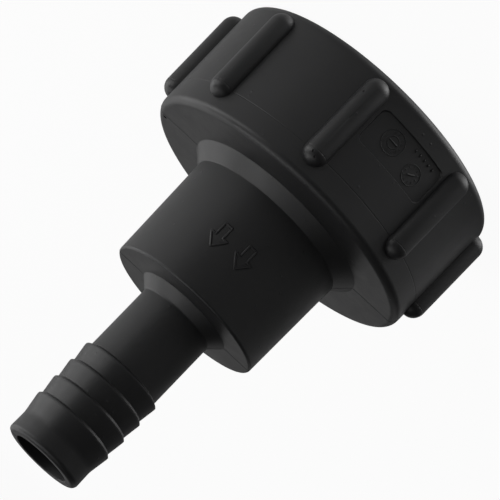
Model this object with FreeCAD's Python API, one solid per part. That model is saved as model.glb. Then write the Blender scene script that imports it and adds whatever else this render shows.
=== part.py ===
import FreeCAD, Part
import math
import os
from FreeCAD import Vector

# Tank hose adapter, moulded in one piece: a ribbed screw cap with a coarse inner thread,
# a plain collar on its shoulder and a barbed hose tail, with a flat gasket inside the cap.
# Millimetres and degrees. +Z is the axis of the part, from the open rim of the cap at
# z = 0 to the mouth of the hose tail. One rib lies on +X.

# Cap; its diameter follows from the thread and this wall
cap_wall = 5.25
cap_height = 30.1
cap_draft = 0.8
cap_shoulder_wall = 4.0
cap_rim_round = 1.0
cap_shoulder_round = 1.8

# Female tank thread, buttress form: the steep flank faces the gasket
thread_nominal = 60.0
thread_pitch = 6.0
thread_depth = 2.5
thread_clearance = 0.3
thread_crest = 1.3
thread_load_flank = 10.0
thread_free_flank = 30.0
thread_lead_in = 3.0
thread_entry_chamfer = 1.0
thread_end_ramp = 22.5

# Gasket that seals on the tank's outlet
gasket_thickness = 3.5
gasket_bore = 44.0
gasket_clearance = 0.3

# Half-round grip ribs round the cap, with ball ends
rib_count = 8
rib_width = 6.0
rib_height = 3.0
rib_length = 24.4
rib_from_rim = 2.1

# Collar between cap and hose tail
collar_od = 40.0
collar_length = 29.5
collar_bore = 31.6
collar_draft = 1.4
collar_front_round = 0.6
collar_root_cone = 3.2
collar_roof_wall = 3.5
collar_inner_round = 2.0

# Hose tail
tail_od = 18.6
tail_bore = 13.5
tail_length = 44.9
tail_root_cone = 2.5
tail_mouth_round = 1.2
tail_bore_round = 0.4

# Barbs on the hose tail, and the plain nose in front of them
barb_count = 4
barb_od = 20.5
barb_root_od = 19.3
barb_pitch = 4.95
barb_land = 0.5
barb_back = 0.9
nose_od = 19.2
nose_neck_od = 19.0
nose_length = 5.1
nose_sweep_round = 6.0

# Shallow panel sunk in the cap's wall, half-way between two ribs
panel_width = 19.0
panel_height = 9.5
panel_corner = 1.6
panel_depth = 0.4
panel_from_rim = 5.7

# How finely rounded edges and the helix are drawn
flat_angle = 30.0
helix_step = 7.5
helix_steps_per_block = 6
ridge_sink = 0.4
rib_sink = 1.0

# Heights and radii that follow
shoulder_z = cap_height
seat_z = shoulder_z - cap_shoulder_wall
collar_front_z = shoulder_z + collar_length
roof_z = collar_front_z - collar_roof_wall
mouth_z = collar_front_z + tail_length
cap_slope = math.tan(math.radians(cap_draft))
collar_slope = math.tan(math.radians(collar_draft))
load_slope = math.tan(math.radians(thread_load_flank))
free_slope = math.tan(math.radians(thread_free_flank))
thread_root_r = thread_nominal / 2 + thread_clearance
cap_od = 2 * (thread_root_r + cap_wall)
thread_crest_r = thread_root_r - thread_depth
thread_base = thread_crest + thread_depth * (load_slope + free_slope)
gasket_od = 2 * (thread_root_r - gasket_clearance)
gasket_low_z = seat_z - gasket_thickness


def cap_radius(z):
    return cap_od / 2 - cap_slope * z


def collar_radius(z):
    return collar_od / 2 - collar_slope * (z - shoulder_z)


def rounded_outline(corners):
    """Points of a closed outline through (a, b, radius) corners, each arc drawn as equal flats."""
    points = []
    for i, (a, b, radius) in enumerate(corners):
        here = Vector(a, b, 0)
        before = Vector(*corners[i - 1][:2], 0) - here
        after = Vector(*corners[(i + 1) % len(corners)][:2], 0) - here
        half = before.getAngle(after) / 2
        if radius <= 0 or half > math.radians(89.9):
            points.append(here)
            continue
        reach = min(radius / math.tan(half), 0.48 * min(before.Length, after.Length))
        before.normalize()
        after.normalize()
        to_centre = before + after
        to_centre.normalize()
        centre = here + to_centre * (reach / math.cos(half))
        start = here + before * reach - centre
        end = here + after * reach - centre
        sweep = start.getAngle(end)
        flats = math.ceil(math.degrees(sweep) / flat_angle - 0.01)
        for k in range(flats + 1):
            turned_by = sweep * k / flats
            from_start = math.sin(sweep - turned_by) / math.sin(sweep)
            from_end = math.sin(turned_by) / math.sin(sweep)
            points.append(centre + start * from_start + end * from_end)
    return points


def face_of(points):
    return Part.Face(Part.makePolygon(points + points[:1]))


def turned(corners):
    """Solid of revolution about Z from (radius, z, rounding) corners."""
    section = face_of([Vector(p.x, 0, p.y) for p in rounded_outline(corners)])
    return section.revolve(Vector(0, 0, 0), Vector(0, 0, 1), 360)


def barb_corners():
    """Barbs from the collar to the mouth, each with a steep back, a short land and a long slope."""
    corners = []
    first_back_z = mouth_z - nose_length - barb_pitch
    for i in reversed(range(barb_count)):
        back_z = first_back_z - i * barb_pitch
        foot_od = tail_od if i == barb_count - 1 else barb_root_od
        corners.append((foot_od / 2, back_z - barb_back, 0))
        corners.append((barb_od / 2, back_z, 0))
        corners.append((barb_od / 2, back_z + barb_land, 0))
    return corners


def outer_corners():
    """Outside of the body, from the cap's rim up to the mouth of the tail."""
    cone_top_z = shoulder_z + collar_root_cone
    corners = [
        (cap_radius(0), 0, cap_rim_round),
        (cap_radius(shoulder_z), shoulder_z, cap_shoulder_round),
        (collar_radius(cone_top_z) + collar_root_cone, shoulder_z, 0),
        (collar_radius(cone_top_z), cone_top_z, 0),
        (collar_radius(collar_front_z), collar_front_z, collar_front_round),
        (tail_od / 2 + tail_root_cone, collar_front_z, 0),
        (tail_od / 2, collar_front_z + tail_root_cone, 0),
    ]
    corners += barb_corners()
    corners.append((nose_neck_od / 2, mouth_z - nose_length, nose_sweep_round))
    corners.append((nose_od / 2, mouth_z, tail_mouth_round))
    return corners


def inner_corners():
    """Inside of the body, from the mouth of the tail down to the cap's rim."""
    return [
        (tail_bore / 2, mouth_z, tail_bore_round),
        (tail_bore / 2, roof_z, collar_inner_round),
        (collar_bore / 2, roof_z, collar_inner_round),
        (collar_bore / 2, seat_z, 0),
        (thread_root_r, seat_z, 0),
        (thread_root_r, thread_entry_chamfer, 0),
        (thread_root_r + thread_entry_chamfer, 0, 0),
    ]


def ridge_section(angle, end_angle):
    """Section of the thread ridge at an angle along it, lower near both ends."""
    full_rise = thread_depth + ridge_sink
    share = min(1, angle / thread_end_ramp, (end_angle - angle) / thread_end_ramp)
    rise = share * (full_rise + ridge_sink / 2) - ridge_sink / 2
    profile = [
        (-ridge_sink, -ridge_sink * free_slope),
        (rise, rise * free_slope),
        (rise, thread_base - rise * load_slope),
        (-ridge_sink, thread_base + ridge_sink * load_slope),
    ]
    turn = math.radians(angle)
    foot_z = thread_lead_in + thread_pitch * angle / 360
    points = []
    for inward, up in profile:
        radius = thread_root_r - inward
        points.append(Vector(radius * math.cos(turn), radius * math.sin(turn), foot_z + up))
    return Part.makePolygon(points + points[:1])


def thread_blocks():
    """Inner thread as one right-hand ridge, in short blocks cut to the crest's cylinder."""
    travel = gasket_low_z - gasket_clearance - thread_base - thread_lead_in
    steps = int(360 * travel / thread_pitch / helix_step)
    end_angle = steps * helix_step
    core = Part.makeCylinder(thread_crest_r, cap_height)
    blocks = []
    for first in range(0, steps, helix_steps_per_block):
        last = min(first + helix_steps_per_block, steps)
        sections = [ridge_section(i * helix_step, end_angle) for i in range(first, last + 1)]
        blocks.append(Part.makeLoft(sections, True, True).cut(core))
    return blocks


def grip_rib():
    """One rib on +X: a half-round bar with ball ends, leaned with the wall."""
    middle_z = rib_from_rim + rib_length / 2
    wall_r = cap_radius(middle_z)
    foot_x = wall_r - rib_sink
    radius = rib_width / 2
    centre_x = wall_r + rib_height - radius
    straight = rib_length - rib_width
    flats = math.ceil(90 / flat_angle - 0.01)
    half_outline = [Vector(foot_x, 0, 0)]
    for k in range(flats + 1):
        turned_by = math.radians(90 * k / flats)
        half_outline.append(Vector(centre_x + radius * math.cos(turned_by), radius * math.sin(turned_by), 0))
    half_outline.append(Vector(foot_x, radius, 0))
    half_section = face_of(half_outline)
    half_bar = half_section.extrude(Vector(0, 0, straight))
    low_end = half_section.revolve(Vector(0, 0, 0), Vector(1, 0, 0), -180)
    for piece in (half_bar, low_end):
        piece.translate(Vector(0, 0, -straight / 2))
    pieces = [
        half_bar.mirror(Vector(0, 0, 0), Vector(0, 1, 0)),
        low_end,
        low_end.mirror(Vector(0, 0, 0), Vector(0, 0, 1)),
    ]
    rib = half_bar.fuse(pieces).removeSplitter()
    rib.rotate(Vector(wall_r, 0, 0), Vector(0, 1, 0), -cap_draft)
    rib.translate(Vector(0, 0, middle_z))
    return rib


def label_panel():
    """Rounded block to cut from the wall, between the rib on -Y and the next one towards -X."""
    half = panel_width / 2
    top_z = panel_from_rim + panel_height
    outline = rounded_outline([
        (-half, panel_from_rim, panel_corner),
        (half, panel_from_rim, panel_corner),
        (half, top_z, panel_corner),
        (-half, top_z, panel_corner),
    ])
    block = face_of([Vector(0, p.x, p.y) for p in outline]).extrude(Vector(cap_od, 0, 0))
    floor = Part.makeCone(cap_radius(0) - panel_depth, cap_radius(cap_height) - panel_depth, cap_height)
    block = block.cut(floor)
    block.rotate(Vector(0, 0, 0), Vector(0, 0, 1), 270 - 180 / rib_count)
    return block


def adapter_body():
    ribs = []
    for i in range(rib_count):
        rib = grip_rib()
        rib.rotate(Vector(0, 0, 0), Vector(0, 0, 1), 360 * i / rib_count)
        ribs.append(rib)
    body = turned(outer_corners() + inner_corners()).fuse(ribs)
    body = body.cut(label_panel()).removeSplitter()
    return body.fuse(thread_blocks())


def sealing_gasket():
    ring = Part.makeCylinder(gasket_od / 2, gasket_thickness, Vector(0, 0, gasket_low_z))
    return ring.cut(Part.makeCylinder(gasket_bore / 2, gasket_thickness, Vector(0, 0, gasket_low_z)))


os.makedirs("parts", exist_ok=True)
for node, shape in (("adapter_body", adapter_body()), ("sealing_gasket", sealing_gasket())):
    print(node, "solids", len(shape.Solids), "valid", shape.isValid(), "mm3", round(shape.Volume))
    shape.Solids[0].exportStep("parts/" + node + ".step")
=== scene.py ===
import math

import bmesh
import bpy
from mathutils import Matrix, Vector


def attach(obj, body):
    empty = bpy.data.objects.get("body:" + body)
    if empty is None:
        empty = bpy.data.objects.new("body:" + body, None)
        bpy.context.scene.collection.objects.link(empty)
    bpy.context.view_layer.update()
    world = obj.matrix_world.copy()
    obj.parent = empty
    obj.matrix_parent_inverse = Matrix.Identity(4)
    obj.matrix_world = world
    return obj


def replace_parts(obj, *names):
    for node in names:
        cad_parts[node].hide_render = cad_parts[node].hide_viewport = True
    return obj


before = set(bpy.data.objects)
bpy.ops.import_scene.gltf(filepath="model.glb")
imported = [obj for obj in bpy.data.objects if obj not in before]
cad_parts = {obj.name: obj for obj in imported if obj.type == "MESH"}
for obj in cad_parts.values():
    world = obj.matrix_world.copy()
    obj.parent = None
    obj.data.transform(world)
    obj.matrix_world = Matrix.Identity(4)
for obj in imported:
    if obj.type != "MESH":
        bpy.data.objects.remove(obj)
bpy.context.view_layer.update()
mm = 0.001
weld = 0.000002


# sockets and nodes as plain expressions

class Wire:
    def __init__(self, bench, socket):
        self.bench = bench
        self.socket = socket

    def out(self, name):
        return Wire(self.bench, self.socket.node.outputs[name])

    def __add__(self, other):
        return self.bench.math("ADD", self, other)

    __radd__ = __add__

    def __sub__(self, other):
        return self.bench.math("SUBTRACT", self, other)

    def __rsub__(self, other):
        return self.bench.math("SUBTRACT", other, self)

    def __mul__(self, other):
        return self.bench.math("MULTIPLY", self, other)

    __rmul__ = __mul__

    def __truediv__(self, other):
        return self.bench.math("DIVIDE", self, other)

    def __mod__(self, other):
        return self.bench.math("MODULO", self, other)

    def __gt__(self, other):
        return self.bench.math("GREATER_THAN", self, other)

    def __lt__(self, other):
        return self.bench.math("LESS_THAN", self, other)


class Bench:
    def __init__(self, tree):
        self.tree = tree

    def node(self, kind, settings=None, sockets=None, out=0):
        made = self.tree.nodes.new(kind)
        for name, value in (settings or {}).items():
            setattr(made, name, value)
        for key, value in (sockets or {}).items():
            if isinstance(value, Wire):
                self.tree.links.new(value.socket, made.inputs[key])
            else:
                made.inputs[key].default_value = value
        return Wire(self, made.outputs[out])

    def math(self, operation, *values):
        return self.node("ShaderNodeMath", {"operation": operation}, dict(enumerate(values)))

    def vector(self, x, y, z):
        return self.node("ShaderNodeCombineXYZ", {}, {0: x, 1: y, 2: z})


def newShape(name, sizes):
    tree = bpy.data.node_groups.new(name, "GeometryNodeTree")
    tree.interface.new_socket("Geometry", in_out="INPUT", socket_type="NodeSocketGeometry")
    for label, value in sizes.items():
        kind = "NodeSocketInt" if isinstance(value, int) else "NodeSocketFloat"
        if isinstance(value, bpy.types.Material):
            kind = "NodeSocketMaterial"
        tree.interface.new_socket(label, in_out="INPUT", socket_type=kind)
    tree.interface.new_socket("Geometry", in_out="OUTPUT", socket_type="NodeSocketGeometry")
    bench = Bench(tree)
    source = tree.nodes.new("NodeGroupInput")
    return bench, {s.name: Wire(bench, s) for s in source.outputs if s.name}


def closeShape(bench, geometry, material):
    whole = bench.node("GeometryNodeRealizeInstances", {}, {"Geometry": geometry})
    painted = bench.node("GeometryNodeSetMaterial", {}, {"Geometry": whole, "Material": material})
    target = bench.tree.nodes.new("NodeGroupOutput")
    bench.tree.links.new(painted.socket, target.inputs[0])


def grow(name, makeTree, sizes, points=(), edges=(), faces=()):
    # runs a Geometry Nodes tree on some points and keeps only the finished mesh
    base = bpy.data.meshes.new(name)
    base.from_pydata([Vector(p) * mm for p in points], edges, faces)
    piece = bpy.data.objects.new(name, base)
    bpy.context.scene.collection.objects.link(piece)
    bench, inputs = newShape(name + "Shape", sizes)
    closeShape(bench, makeTree(bench, inputs), inputs["Material"])
    modifier = piece.modifiers.new("shape", "NODES")
    modifier.node_group = bench.tree
    for item in bench.tree.interface.items_tree:
        if item.in_out == "INPUT" and item.name in sizes:
            modifier[item.identifier] = sizes[item.name]
    keepResult(piece)
    return piece


def finishedMesh(piece):
    graph = bpy.context.evaluated_depsgraph_get()
    return bpy.data.meshes.new_from_object(piece.evaluated_get(graph), depsgraph=graph)


def keepResult(piece):
    result = finishedMesh(piece)
    piece.modifiers.clear()
    piece.data = result
    result.name = piece.name


def loop(count, closed=True):
    return [(i, (i + 1) % count) for i in range(count if closed else count - 1)]


# materials

def newMaterial(name, colour, roughness):
    material = bpy.data.materials.new(name)
    material.use_nodes = True
    material.diffuse_color = (*colour, 1)
    bench = Bench(material.node_tree)
    shader = material.node_tree.nodes["Principled BSDF"]
    shader.inputs["Base Color"].default_value = (*colour, 1)
    shader.inputs["Roughness"].default_value = roughness
    return material, bench, shader


plasticLook = {
    "colour": (0.0125, 0.0125, 0.013),
    "paleColour": (0.019, 0.019, 0.02),
    "cloudShare": 0.7, "speckShare": 0.8,   # how far clouds and specks go to the pale colour
    "roughness": 0.44,
    "roughnessSpread": 0.10,
    "grainSize": 0.30 * mm,
    "grainDepth": 0.006 * mm,
    "flowSize": 9 * mm,
    "flowDepth": 0.03 * mm,
    "smearSize": 2.52 * mm,
    "smearShare": 0.8,
    "speckCell": 2.2 * mm,
    "speckRadius": 0.15,
    "speckRise": 0.07 * mm,
    "speckRarity": 0.8,
    # the line where the mould parts meet, only outside this radius, which is on the ribs
    "splitZ": 23.6 * mm,
    "splitWidth": 0.14 * mm,
    "splitDepth": 0.045 * mm,
    "splitInside": 35.4 * mm,
}


def mouldedPlastic():
    look = plasticLook
    material, bench, shader = newMaterial("mouldedPlastic", look["colour"], look["roughness"])
    place = bench.node("ShaderNodeTexCoord", {}, {}, "Object")

    def noise(size, detail, roughness=0.5):
        return bench.node("ShaderNodeTexNoise", {"noise_dimensions": "3D"}, {
            "Vector": place, "Scale": 1 / size, "Detail": detail, "Roughness": roughness}, "Fac")

    grain = noise(look["grainSize"], 3, 0.6)
    cloud = noise(look["flowSize"], 2)
    smear = noise(look["smearSize"], 3)
    speck = bench.node("ShaderNodeTexVoronoi", {"feature": "F1"}, {
        "Vector": place, "Scale": 1 / look["speckCell"], "Randomness": 1.0}, "Distance")
    chance = bench.node("ShaderNodeSeparateColor", {}, {"Color": speck.out("Color")}, "Red")
    specks = bench.math("MAXIMUM", 1 - speck / look["speckRadius"], 0.0) * (chance > look["speckRarity"])

    shade = bench.node("ShaderNodeMix", {"data_type": "RGBA"}, {
        0: cloud * look["cloudShare"] + specks * look["speckShare"],
        6: (*look["colour"], 1), 7: (*look["paleColour"], 1)}, 2)
    rough = look["roughness"] + (cloud - 0.5) * look["roughnessSpread"] \
        + (smear - 0.5) * look["roughnessSpread"] * look["smearShare"]
    parts = bench.node("ShaderNodeSeparateXYZ", {}, {0: place})
    across = parts.out("X") * parts.out("X") + parts.out("Y") * parts.out("Y")
    nearSplit = bench.math("ABSOLUTE", parts.out("Z") - look["splitZ"]) / look["splitWidth"]
    splitLine = bench.math("MAXIMUM", 1 - nearSplit, 0.0) * (across > look["splitInside"] ** 2)
    height = grain * look["grainDepth"] + cloud * look["flowDepth"] + specks * look["speckRise"] \
        - splitLine * look["splitDepth"]
    bump = bench.node("ShaderNodeBump", {}, {
        "Strength": 1.0, "Distance": 1.0, "Height": height}, "Normal")
    bench.tree.links.new(shade.socket, shader.inputs["Base Color"])
    bench.tree.links.new(rough.socket, shader.inputs["Roughness"])
    bench.tree.links.new(bump.socket, shader.inputs["Normal"])
    return material


rubberLook = {
    "colour": (0.012, 0.012, 0.012),
    "roughness": 0.72,
    "roughnessSpread": 0.2,
    "grainSize": 0.5 * mm,
    "grainDepth": 0.02 * mm,
    "bloomScale": 180.0,
}


def gasketRubber():
    look = rubberLook
    material, bench, shader = newMaterial("gasketRubber", look["colour"], look["roughness"])
    place = bench.node("ShaderNodeTexCoord", {}, {}, "Object")
    grain = bench.node("ShaderNodeTexNoise", {}, {
        "Vector": place, "Scale": 1 / look["grainSize"], "Detail": 3.0}, "Fac")
    bloom = bench.node("ShaderNodeTexNoise", {}, {
        "Vector": place, "Scale": look["bloomScale"], "Detail": 2.0}, "Fac")
    rough = look["roughness"] + (bloom - 0.5) * look["roughnessSpread"]
    bump = bench.node("ShaderNodeBump", {}, {
        "Distance": 1.0, "Height": grain * look["grainDepth"]}, "Normal")
    bench.tree.links.new(rough.socket, shader.inputs["Roughness"])
    bench.tree.links.new(bump.socket, shader.inputs["Normal"])
    return material


plastic = mouldedPlastic()
rubber = gasketRubber()
print("materials ready")


# turned forms

arcStep = 9.0   # degrees in each flat of a rounding
hold = 0.1      # from the end of a straight run to the point that keeps it flat


def roundedLine(corners, closed=True):
    points = []
    last = len(corners) - 1
    for i, (a, b, radius) in enumerate(corners):
        here = Vector((a, b))
        if radius <= 0 or (not closed and i in (0, last)):
            points.append((a, b))
            continue
        before = Vector(corners[i - 1][:2]) - here
        after = Vector(corners[(i + 1) % len(corners)][:2]) - here
        half = before.angle(after) / 2
        reach = min(radius / math.tan(half), 0.48 * min(before.length, after.length))
        before.normalize()
        after.normalize()
        centre = here + (before + after).normalized() * (reach / math.cos(half))
        start = here + before * reach - centre
        end = here + after * reach - centre
        sweep = start.angle(end)
        flats = max(2, math.ceil(math.degrees(sweep) / arcStep))
        for k in range(flats + 1):
            turned = sweep * k / flats
            p = centre + (start * math.sin(sweep - turned) + end * math.sin(turned)) / math.sin(sweep)
            points.append((p.x, p.y))
    return points


def latheNodes(bench, outline, segments, stretch=None):
    # turns a closed outline about Z, or one from axis to axis whose halves are pulled apart along Y
    count = bench.node("GeometryNodeAttributeDomainSize", {"component": "MESH"}, {"Geometry": outline})
    rows = count + 1 if stretch is None else count + 0
    grid = bench.node("GeometryNodeMeshGrid", {}, {"Vertices X": segments + 1, "Vertices Y": rows})
    index = bench.node("GeometryNodeInputIndex")
    column = bench.math("FLOOR", (index + 0.5) / rows)
    row = (index - column * rows) % count
    point = bench.node("GeometryNodeSampleIndex", {"data_type": "FLOAT_VECTOR", "domain": "POINT"}, {
        "Geometry": outline, "Value": bench.node("GeometryNodeInputPosition"), "Index": row})
    parts = bench.node("ShaderNodeSeparateXYZ", {}, {0: point})
    turn = (column % segments + 0.5) * (2 * math.pi) / segments
    across = parts.out("X") * bench.math("COSINE", turn)
    along = parts.out("X") * bench.math("SINE", turn)
    if stretch is not None:
        along = along + bench.math("SIGN", bench.math("SINE", turn)) * stretch / 2
    moved = bench.node("GeometryNodeSetPosition", {}, {
        "Geometry": grid, "Position": bench.vector(across, along, parts.out("Z"))})
    solid = bench.node("GeometryNodeMergeByDistance", {}, {"Geometry": moved, "Distance": weld})
    return bench.node("GeometryNodeSetShadeSmooth", {}, {"Geometry": solid})


def latheTree(bench, inputs):
    return latheNodes(bench, inputs["Geometry"], inputs["Segments"])


cap = {
    "od": 71.1, "height": 30.1, "draft": 0.8, "shoulderWall": 4.0,
    "rimRound": 2.2, "shoulderRound": 1.8,
    "splitZ": 23.6, "splitWidth": 0.10, "splitDepth": 0.045,   # line where the mould parts meet
}
collar = {
    "od": 40.0, "length": 29.5, "bore": 31.6, "draft": 1.4, "frontRound": 0.6,
    "rootCone": 3.2, "rootFootRound": 0.5, "rootTopRound": 0.25, "roofWall": 3.5, "innerRound": 2.0,
    "seatRound": 0.4,
}
tail = {
    "od": 18.6, "bore": 14.0, "length": 44.9, "rootCone": 2.5, "rootFootRound": 0.5, "rootTopRound": 0.6,
    "mouthRound": 1.2, "boreRound": 0.2,
}
barb = {
    "count": 4, "od": 20.5, "rootOd": 19.3, "pitch": 4.95, "land": 0.35, "back": 0.55,
    "crestRound": 0.08, "footRound": 0.06,
    "noseOd": 19.2, "noseNeckOd": 19.0, "noseLength": 5.1, "noseSweep": 6.0,
}
thread = {
    "Root": 30.3, "Depth": 2.5, "Pitch": 6.0, "Base": 3.384, "LeadIn": 3.0,
    "LoadFlank": 10.0, "FreeFlank": 30.0, "Ramp": 22.5, "Sink": 0.4, "EndAngle": 952.5,
    "entryChamfer": 1.0, "entryRound": 0.2, "seatRound": 0.3, "stepAngle": 3.0,
}
shoulderZ = cap["height"]
seatZ = shoulderZ - cap["shoulderWall"]
collarFrontZ = shoulderZ + collar["length"]
roofZ = collarFrontZ - collar["roofWall"]
mouthZ = collarFrontZ + tail["length"]


def capRadius(z):
    return cap["od"] / 2 - math.tan(math.radians(cap["draft"])) * z


def collarRadius(z):
    return collar["od"] / 2 - math.tan(math.radians(collar["draft"])) * (z - shoulderZ)


def outsideCorners():
    coneTopZ = shoulderZ + collar["rootCone"]
    low, high = cap["splitZ"] - cap["splitWidth"], cap["splitZ"] + cap["splitWidth"]
    corners = [
        (capRadius(0), 0, cap["rimRound"]),
        (capRadius(low), low, 0),
        (capRadius(cap["splitZ"]) - cap["splitDepth"], cap["splitZ"], 0),
        (capRadius(high), high, 0),
        (capRadius(shoulderZ), shoulderZ, cap["shoulderRound"]),
        (collarRadius(coneTopZ) + collar["rootCone"], shoulderZ, collar["rootFootRound"]),
        (collarRadius(coneTopZ), coneTopZ, collar["rootTopRound"]),
        (collarRadius(collarFrontZ), collarFrontZ, collar["frontRound"]),
        (tail["od"] / 2 + tail["rootCone"], collarFrontZ, tail["rootFootRound"]),
        (tail["od"] / 2, collarFrontZ + tail["rootCone"], tail["rootTopRound"]),
    ]
    firstBackZ = mouthZ - barb["noseLength"] - barb["pitch"]
    for i in reversed(range(barb["count"])):
        backZ = firstBackZ - i * barb["pitch"]
        footOd = tail["od"] if i == barb["count"] - 1 else barb["rootOd"]
        corners.append((footOd / 2, backZ - barb["back"], barb["footRound"]))
        corners.append((barb["od"] / 2, backZ, barb["crestRound"]))
        corners.append((barb["od"] / 2, backZ + barb["land"], barb["crestRound"]))
    corners.append((barb["noseNeckOd"] / 2, mouthZ - barb["noseLength"], barb["noseSweep"]))
    corners.append((barb["noseOd"] / 2, mouthZ, tail["mouthRound"]))
    return corners


def insideCorners():
    return [
        (tail["bore"] / 2, mouthZ, tail["boreRound"]),
        (tail["bore"] / 2, roofZ, collar["innerRound"]),
        (collar["bore"] / 2, roofZ, collar["innerRound"]),
        (collar["bore"] / 2, seatZ, collar["seatRound"]),
        (thread["Root"], seatZ, thread["seatRound"]),
        (thread["Root"], thread["entryChamfer"], thread["entryRound"]),
        (thread["Root"] + thread["entryChamfer"], 0, thread["entryRound"]),
    ]


def section(corners):
    # each straight run gets a point close to both ends, which keeps its shading flat
    line = roundedLine(corners)
    points = []
    for i, (a, b) in enumerate(line):
        points.append((a, 0, b))
        c, d = line[(i + 1) % len(line)]
        run = math.hypot(c - a, d - b)
        if run > 6 * hold:
            points += [(a + (c - a) * k, 0, b + (d - b) * k) for k in (hold / run, 1 - hold / run)]
    return points


outline = section(outsideCorners() + insideCorners())
body = grow("adapterBody", latheTree, {"Segments": 256, "Material": plastic}, outline, loop(len(outline)))
print("body turned", len(body.data.polygons))


# grip ribs

rib = {
    "count": 8, "width": 6.0, "height": 3.0, "length": 24.4, "fromRim": 2.1, "sink": 1.0, "flats": 12,
}


def ribTree(bench, inputs):
    bar = latheNodes(bench, inputs["Geometry"], inputs["Segments"], inputs["Straight"])
    upright = bench.node("GeometryNodeTransform", {}, {
        "Geometry": bar, "Rotation": (math.radians(90), 0, math.radians(90))})
    leaned = bench.node("GeometryNodeTransform", {}, {
        "Geometry": upright, "Translation": bench.vector(inputs["WallRadius"], 0.0, inputs["MiddleZ"]),
        "Rotation": (0, -math.radians(cap["draft"]), 0)})
    spots = bench.node("GeometryNodePoints", {}, {"Count": inputs["Count"]})
    turn = bench.node("GeometryNodeInputIndex") * (2 * math.pi) / inputs["Count"]
    return bench.node("GeometryNodeInstanceOnPoints", {}, {
        "Points": spots, "Instance": leaned, "Rotation": bench.vector(0.0, 0.0, turn)})


ribMiddleZ = rib["fromRim"] + rib["length"] / 2
ribRadius = rib["width"] / 2
ribArc = [math.radians(90 * i / rib["flats"]) for i in range(rib["flats"] + 1)]
ribLine = [(0, 0, -rib["sink"]), (ribRadius, 0, -rib["sink"])] + [
    (ribRadius * math.cos(a), 0, rib["height"] - ribRadius * (1 - math.sin(a))) for a in ribArc]
ribs = grow("gripRibs", ribTree, {
    "Segments": 36, "Count": rib["count"], "Straight": (rib["length"] - rib["width"]) * mm,
    "WallRadius": capRadius(ribMiddleZ) * mm, "MiddleZ": ribMiddleZ * mm, "Material": plastic,
}, ribLine, loop(len(ribLine)))
print("ribs", len(ribs.data.polygons))


# inner thread

def threadTree(bench, inputs):
    steps = bench.math("ROUND", inputs["EndAngle"] / inputs["StepAngle"])
    grid = bench.node("GeometryNodeMeshGrid", {}, {"Vertices X": steps + 1, "Vertices Y": 5})
    index = bench.node("GeometryNodeInputIndex")
    column = bench.math("FLOOR", (index + 0.5) / 5)
    corner = (index - column * 5) % 4
    angle = column * inputs["StepAngle"]
    nearest = bench.math("MINIMUM", angle, inputs["EndAngle"] - angle)
    share = bench.math("MINIMUM", nearest / inputs["Ramp"], 1.0)
    rise = share * (inputs["Depth"] + inputs["Sink"] / 2) - inputs["Sink"] / 2
    top = (corner > 0.5) * (corner < 2.5)
    inward = rise * top - inputs["Sink"] * (1 - top)
    high = corner > 1.5
    up = inward * inputs["Free"] * (1 - high) + (inputs["Base"] - inward * inputs["Load"]) * high
    isEnd = nearest < 0.01
    inward = inward * (1 - isEnd) - inputs["Sink"] * isEnd
    up = up * (1 - isEnd) + inputs["Base"] / 2 * isEnd
    radius = inputs["Root"] - inward
    turn = bench.math("RADIANS", angle)
    z = inputs["LeadIn"] + inputs["Pitch"] * angle / 360 + up
    moved = bench.node("GeometryNodeSetPosition", {}, {"Geometry": grid, "Position": bench.vector(
        radius * bench.math("COSINE", turn), radius * bench.math("SINE", turn), z)})
    ridge = bench.node("GeometryNodeMergeByDistance", {}, {"Geometry": moved, "Distance": weld})
    outward = bench.node("GeometryNodeFlipFaces", {}, {"Mesh": ridge})
    return bench.node("GeometryNodeSetShadeSmooth", {}, {"Geometry": outward})


lengths = {name: thread[name] * mm for name in ("Root", "Depth", "Pitch", "Base", "LeadIn", "Sink")}
ridge = grow("innerThread", threadTree, {
    **lengths, "Load": math.tan(math.radians(thread["LoadFlank"])),
    "Free": math.tan(math.radians(thread["FreeFlank"])), "Ramp": thread["Ramp"],
    "EndAngle": thread["EndAngle"], "StepAngle": thread["stepAngle"], "Material": plastic})
print("thread", len(ridge.data.polygons))


# sunk panel

panel = {
    "width": 20.4, "height": 9.5, "corner": 1.6, "depth": 0.45, "fromRim": 5.7,
    "slope": 0.24, "angle": 22.5, "columns": 36, "over": 0.8, "flare": 0.3,
}


def onWall(x, z, lift, angle, radiusAt):
    # x runs towards +X seen from outside, and the angle is counted from -Y towards -X
    radius = radiusAt(z) + lift
    turn = math.radians(angle) - x / radiusAt(z)
    return (-radius * math.sin(turn), -radius * math.cos(turn), z)


def panelBlock():
    half, corner = panel["width"] / 2, panel["corner"]
    lowZ, highZ = panel["fromRim"], panel["fromRim"] + panel["height"]
    spots = [-half + corner * (1 - math.cos(math.radians(a))) for a in range(0, 90, 10)]
    spots += [-half + corner + (half - corner) * 2 * i / panel["columns"] for i in range(panel["columns"])]
    spots += [half - corner * (1 - math.cos(math.radians(a))) for a in range(90, -1, -10)]
    points, faces = [], []
    for x in spots:
        inside = max(0.0, abs(x) - (half - corner))
        cut = corner - math.sqrt(max(0.0, corner * corner - inside * inside))
        for lift, inset in ((-panel["depth"], panel["slope"]), (panel["over"], -panel["flare"])):
            across = x * (half - inset) / half
            for z, way in ((lowZ + cut, 1), (highZ - cut, -1)):
                points.append(onWall(across, z + way * inset, lift, panel["angle"], capRadius))
    for i in range(len(spots) - 1):
        a, b = 4 * i, 4 * i + 4
        faces += [(a, a + 1, b + 1, b), (a + 2, b + 2, b + 3, a + 3),
                  (a, b, b + 2, a + 2), (a + 1, a + 3, b + 3, b + 1)]
    end = 4 * (len(spots) - 1)
    faces += [(0, 2, 3, 1), (end, end + 1, end + 3, end + 2)]
    return points, faces


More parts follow.
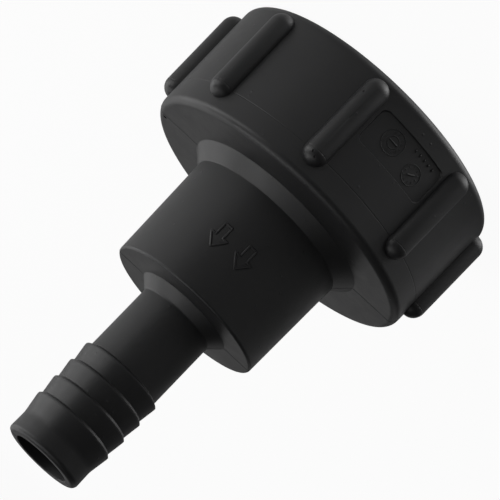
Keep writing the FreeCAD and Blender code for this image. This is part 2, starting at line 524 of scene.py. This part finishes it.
def solidFrom(name, points, faces):
    data = bpy.data.meshes.new(name)
    data.from_pydata([Vector(p) * mm for p in points], [], faces)
    data.materials.append(plastic)
    data.shade_smooth()
    piece = bpy.data.objects.new(name, data)
    bpy.context.scene.collection.objects.link(piece)
    return piece


def carve(piece, other, operation):
    modifier = piece.modifiers.new("carve", "BOOLEAN")
    modifier.operation = operation
    modifier.solver = "MANIFOLD"
    modifier.object = other
    keepResult(piece)
    bpy.data.objects.remove(other)


# small dents: a gate mark on the shoulder, and worn spots on the front rib

dents = {
    "shoulder": (0.5, [(32.8, 1.3, 30.05)]),
    "rib": (0.3, [(-0.45, -37.75, 25.1), (0.65, -38.05, 24.4), (1.7, -38.0, 7.4), (-0.1, -38.62, 13.9)]),
}


def dentTree(bench, inputs):
    ball = bench.node("GeometryNodeMeshIcoSphere", {}, {
        "Radius": inputs["Radius"], "Subdivisions": 3}, "Mesh")
    return bench.node("GeometryNodeInstanceOnPoints", {}, {"Points": inputs["Geometry"], "Instance": ball})


carve(body, ribs, "UNION")
carve(body, ridge, "UNION")
carve(body, solidFrom("panelBlock", *panelBlock()), "DIFFERENCE")
for name, (radius, spots) in dents.items():
    balls = grow(name + "Dents", dentTree, {"Radius": radius * mm, "Material": plastic}, spots)
    carve(body, balls, "DIFFERENCE")
body.data.set_sharp_from_angle(angle=math.radians(32))
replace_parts(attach(body, "root"), "adapter_body")
print("body joined", len(body.data.polygons))


# raised mould marks: round beads that follow the surface, and figures on the dial

marks = {
    "seamSteps": 59, "seamBead": 0.045, "dialBead": 0.12, "pointerBead": 0.25,
    "arrowBead": 0.31, "dotBead": 0.42,   # radii of the beads
    "monthDial": (16.5, 9.9, 2.8), "yearDial": (29.4, 11.6, 2.35),   # angle from -Y to -X, height, radius
    "figureHeight": 0.85, "figureRing": 0.76, "figureRise": 0.09, "months": 12,
    "innerRing": 0.5, "ticks": 10, "tickFrom": 0.62, "tickTo": 0.82,   # as shares of the dial's radius
    "monthPointer": (1.15, 0), "yearPointer": (0.75, 0.5), "markSink": 0.05,
    "dots": (29.3, 7.3, 5, 1.45), "dotHalf": 0.12, "dotSink": 0.12,    # angle, height, count, pitch
    "arrows": ((-11.6, 46.6), (9.3, 46.8)),                            # angle and height
    "arrowLength": 6.0, "arrowWidth": 4.6, "shaftWidth": 1.9, "headLength": 2.9,
}


def beadTree(bench, inputs):
    path = bench.node("GeometryNodeMeshToCurve", {}, {"Mesh": inputs["Geometry"]})
    ring = bench.node("GeometryNodeCurvePrimitiveCircle", {}, {
        "Resolution": inputs["Sides"], "Radius": inputs["Radius"]}, "Curve")
    bead = bench.node("GeometryNodeCurveToMesh", {}, {
        "Curve": path, "Profile Curve": ring, "Fill Caps": True})
    spots = bench.node("GeometryNodePoints", {}, {"Count": inputs["Copies"]})
    turn = bench.node("GeometryNodeInputIndex") * (2 * math.pi) / inputs["Copies"]
    copies = bench.node("GeometryNodeInstanceOnPoints", {}, {
        "Points": spots, "Instance": bead, "Rotation": bench.vector(0.0, 0.0, turn)})
    return bench.node("GeometryNodeSetShadeSmooth", {}, {"Geometry": copies})


def beads(name, paths, radius, sides=8, copies=1):
    points, edges = [], []
    for path, closed in paths:
        edges += [(a + len(points), b + len(points)) for a, b in loop(len(path), closed)]
        points += path
    return grow(name, beadTree, {
        "Radius": radius * mm, "Sides": sides, "Copies": copies, "Material": plastic}, points, edges)


def panelFloor(z):
    return capRadius(z) - panel["depth"]


def finer(points, step, closed):
    # adds points along straight runs so that a flat outline can be bent round a wall
    dense = []
    for i in range(len(points) if closed else len(points) - 1):
        (ax, az), (bx, bz) = points[i], points[(i + 1) % len(points)]
        count = max(1, math.ceil(math.hypot(bx - ax, bz - az) / step))
        dense += [(ax + (bx - ax) * k / count, az + (bz - az) * k / count) for k in range(count)]
    return dense if closed else dense + [points[-1]]


def bentPath(points, closed, angle, z, radiusAt, lift=0.0, step=0.5):
    return [onWall(a, z + b, lift, angle, radiusAt) for a, b in finer(points, step, closed)], closed


def ringPoints(radius, count=48):
    return [(radius * math.cos(2 * math.pi * i / count), radius * math.sin(2 * math.pi * i / count))
            for i in range(count)]


def arrowPoints():
    half, head = marks["arrowLength"] / 2, marks["arrowWidth"] / 2
    neck, shaft = half - marks["headLength"], marks["shaftWidth"] / 2
    return [(0, half), (head, neck), (shaft, neck), (shaft, -half),
            (-shaft, -half), (-shaft, neck), (-head, neck)]


def seamPath():
    # over the crest of the rib on +X, then along the outside up to the edge of the bore
    low, high, reach = rib["fromRim"], rib["fromRim"] + rib["length"], ribRadius
    path = []
    for i in range(marks["seamSteps"] + 1):
        z = low + (high - low) * i / marks["seamSteps"]
        short = max(0.0, low + reach - z, z - (high - reach))
        rise = math.sqrt(max(0.0, reach * reach - short * short)) + rib["height"] - reach
        path.append((capRadius(z) + rise, 0, z))
    outside = roundedLine(outsideCorners() + [(tail["bore"] / 2 + tail["boreRound"], mouthZ, 0)], False)
    return path + [(a, 0, b) for a, b in outside if b > high + 0.1], False


def figures(centreAngle, z, radius):
    # plain numbers 1 to 12 round the dial, made flat, thickened and bent onto the panel's floor
    points, faces = [], []
    for month in range(1, marks["months"] + 1):
        letters = bpy.data.curves.new("figure", "FONT")
        letters.body = str(month)
        letters.size = marks["figureHeight"]
        letters.align_x = letters.align_y = "CENTER"
        letters.resolution_u = 3
        letters.extrude = marks["figureRise"]
        holder = bpy.data.objects.new("figure", letters)
        bpy.context.scene.collection.objects.link(holder)
        shape = finishedMesh(holder)
        turn = math.radians(90 - 360 * month / marks["months"])
        across, up = radius * math.cos(turn), radius * math.sin(turn)
        base = len(points)
        for vertex in shape.vertices:
            a, b, lift = vertex.co
            points.append(onWall(a + across, z + b + up, lift, centreAngle, panelFloor))
        faces += [[base + i for i in face.vertices] for face in shape.polygons]
        bpy.data.objects.remove(holder)
    return solidFrom("dialFigures", points, faces)


def gather(name, pieces):
    mesh = bmesh.new()
    for piece in pieces:
        mesh.from_mesh(piece.data)
        bpy.data.objects.remove(piece)
    data = bpy.data.meshes.new(name)
    bmesh.ops.remove_doubles(mesh, verts=mesh.verts, dist=0.0000005)
    bmesh.ops.recalc_face_normals(mesh, faces=mesh.faces)
    mesh.to_mesh(data)
    mesh.free()
    data.materials.append(plastic)
    whole = bpy.data.objects.new(name, data)
    bpy.context.scene.collection.objects.link(whole)
    return whole


def pointer(reach, angle, z):
    a, b = reach
    return bentPath([(-a, -b), (a, b)], False, angle, z, panelFloor, -marks["markSink"])


monthAngle, monthZ, monthRadius = marks["monthDial"]
yearAngle, yearZ, yearRadius = marks["yearDial"]
dotAngle, dotZ, dotCount, dotPitch = marks["dots"]
tickPaths, dotPaths = [], []
for i in range(marks["ticks"]):
    turn = 2 * math.pi * i / marks["ticks"]
    tick = [(yearRadius * k * math.cos(turn), yearRadius * k * math.sin(turn))
            for k in (marks["tickFrom"], marks["tickTo"])]
    tickPaths.append(bentPath(tick, False, yearAngle, yearZ, panelFloor))
for i in range(dotCount):
    middle = dotPitch * (i - (dotCount - 1) / 2)
    dot = [(middle - marks["dotHalf"], 0), (middle + marks["dotHalf"], 0)]
    dotPaths.append(bentPath(dot, False, dotAngle, dotZ, panelFloor, -marks["dotSink"]))
pointers = [
    pointer(marks["monthPointer"], monthAngle, monthZ),
    pointer(marks["yearPointer"], yearAngle, yearZ)]
dialRings = [bentPath(ringPoints(radius), True, angle, z, panelFloor) for radius, angle, z in (
    (monthRadius, monthAngle, monthZ),
    (monthRadius * marks["innerRing"], monthAngle, monthZ),
    (yearRadius, yearAngle, yearZ))]
arrows = [bentPath(arrowPoints(), True, angle, z, collarRadius, -marks["markSink"])
          for angle, z in marks["arrows"]]
mouldMarks = gather("mouldMarks", [
    beads("mouldSeams", [seamPath()], marks["seamBead"], 6, 2),
    beads("dialRings", dialRings + tickPaths, marks["dialBead"]),
    beads("dialPointers", pointers, marks["pointerBead"]),
    beads("shiftDots", dotPaths, marks["dotBead"], 12),
    beads("flowArrows", arrows, marks["arrowBead"], 12),
    figures(monthAngle, monthZ, monthRadius * marks["figureRing"]),
])
mouldMarks.data.set_sharp_from_angle(angle=math.radians(40))
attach(mouldMarks, "root")
print("mould marks", len(mouldMarks.data.polygons))


# gasket

gasket = {"thickness": 3.5, "bore": 44.0, "od": 60.0, "edgeRound": 0.3}
lowZ = seatZ - gasket["thickness"]
ringLine = section([
    (gasket["bore"] / 2, lowZ, gasket["edgeRound"]), (gasket["od"] / 2, lowZ, gasket["edgeRound"]),
    (gasket["od"] / 2, seatZ, gasket["edgeRound"]), (gasket["bore"] / 2, seatZ, gasket["edgeRound"])])
ring = grow("sealingGasket", latheTree, {"Segments": 128, "Material": rubber}, ringLine, loop(len(ringLine)))
ring.data.set_sharp_from_angle(angle=math.radians(32))
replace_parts(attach(ring, "root"), "sealing_gasket")
print("gasket", len(ring.data.polygons))


# camera, lamps and floor

view = {
    "azimuth": -4.65, "elevation": 14.4, "distance": 700.0, "lens": 231.08,
    "axisZ": 39.45, "axisShift": -1.184, "roll": 46.04,
}


def photoFrame():
    turn, rise = math.radians(view["azimuth"]), math.radians(view["elevation"])
    back = Vector((math.sin(turn) * math.cos(rise), -math.cos(turn) * math.cos(rise), math.sin(rise)))
    tailward = (Vector((0, 0, 1)) - back * back.z).normalized()
    sideward = tailward.cross(back)
    c, s = math.cos(math.radians(view["roll"])), math.sin(math.radians(view["roll"]))
    right = -c * tailward - s * sideward
    up = -s * tailward + c * sideward
    return right, up, back, sideward


right, up, back, sideward = photoFrame()
lensData = bpy.data.cameras.new("camera")
lensData.lens = view["lens"]
lensData.sensor_width = 36
lensData.clip_end = 20
camera = bpy.data.objects.new("camera", lensData)
bpy.context.scene.collection.objects.link(camera)
aim = Vector((0, 0, view["axisZ"] * mm)) + sideward * view["axisShift"] * mm
place = aim + back * view["distance"] * mm
camera.matrix_world = Matrix.Translation(place) @ Matrix((right, up, back)).transposed().to_4x4()
bpy.context.scene.camera = camera

lamps = {   # azimuth from the camera towards the photograph's lower right, height angle, power
    "wallLow": (-90, 12, 0.93),
    "wallHigh": (-90, 62, 0.74),
    "frontLeft": (-60, 12, 0.73),
    "frontHigh": (-30, 62, 0.35),
    "backLeft": (-120, 12, 0.69),
    "backMiddle": (-120, 36, 0.46),
    "backUnder": (-120, -40, 0.44),
    "backHigh": (-150, 36, 0.33),
    "backLow": (-150, 12, 0.22),
    "behind": (-180, 12, 0.11),
    "rightHigh": (30, 62, 0.20),
    "rightBack": (150, 12, 0.07),
    "frontBelow": (60, -40, 0.30),
    "backBelow": (150, -65, 1.09),
    "rimBelow": (40, -82, 1.6),
    "rightUnder": (100, -62, 3.5),
}
lampDistance, lampSize, lampAim = 0.7, 0.3, 45 * mm
for name, (azimuth, height, power) in lamps.items():
    turn, rise = math.radians(view["azimuth"] - azimuth), math.radians(height)
    way = Vector((math.sin(turn) * math.cos(rise), -math.cos(turn) * math.cos(rise), math.sin(rise)))
    data = bpy.data.lights.new(name, "AREA")
    data.shape = "SQUARE"
    data.size = lampSize
    data.energy = power
    lamp = bpy.data.objects.new(name, data)
    bpy.context.scene.collection.objects.link(lamp)
    lamp.matrix_world = Matrix.Translation(Vector((0, 0, lampAim)) + way * lampDistance) \
        @ way.to_track_quat("Z", "Y").to_matrix().to_4x4()

# how white the world and the floor are: to the camera, and to mirrors
backdrop = {"worldMirrored": 0.05, "floorSeen": 0.95, "floorReach": 4000}

world = bpy.data.worlds.new("studio")
bpy.context.scene.world = world
world.use_nodes = True
air = Bench(world.node_tree)
world.node_tree.nodes.clear()
seen = air.node("ShaderNodeLightPath", {}, {}, "Is Camera Ray")
glow = air.node("ShaderNodeBackground", {}, {
    "Color": (1, 1, 1, 1), "Strength": seen + seen.out("Is Glossy Ray") * backdrop["worldMirrored"]})
target = world.node_tree.nodes.new("ShaderNodeOutputWorld")
world.node_tree.links.new(glow.socket, target.inputs["Surface"])

floorMaterial, paint, floorShader = newMaterial("paleFloor", (0.8, 0.8, 0.8), 0.9)
seen = paint.node("ShaderNodeLightPath", {}, {}, "Is Camera Ray")
white = paint.node("ShaderNodeEmission", {}, {"Color": (1, 1, 1, 1), "Strength": 1.0})
mix = paint.node("ShaderNodeMixShader", {}, {
    0: seen * backdrop["floorSeen"], 1: Wire(paint, floorShader.outputs[0]), 2: white})
paint.tree.links.new(mix.socket, paint.tree.nodes["Material Output"].inputs["Surface"])
far = backdrop["floorReach"]
floor = solidFrom("floor", [(-far, -far, 0), (far, -far, 0), (far, far, 0), (-far, far, 0)], [(0, 1, 2, 3)])
floor.data.materials[0] = floorMaterial
floor.visible_shadow = False   # lets the lamps below it through, like a light table
bpy.context.scene.view_settings.view_transform = "Standard"
print("stage ready")
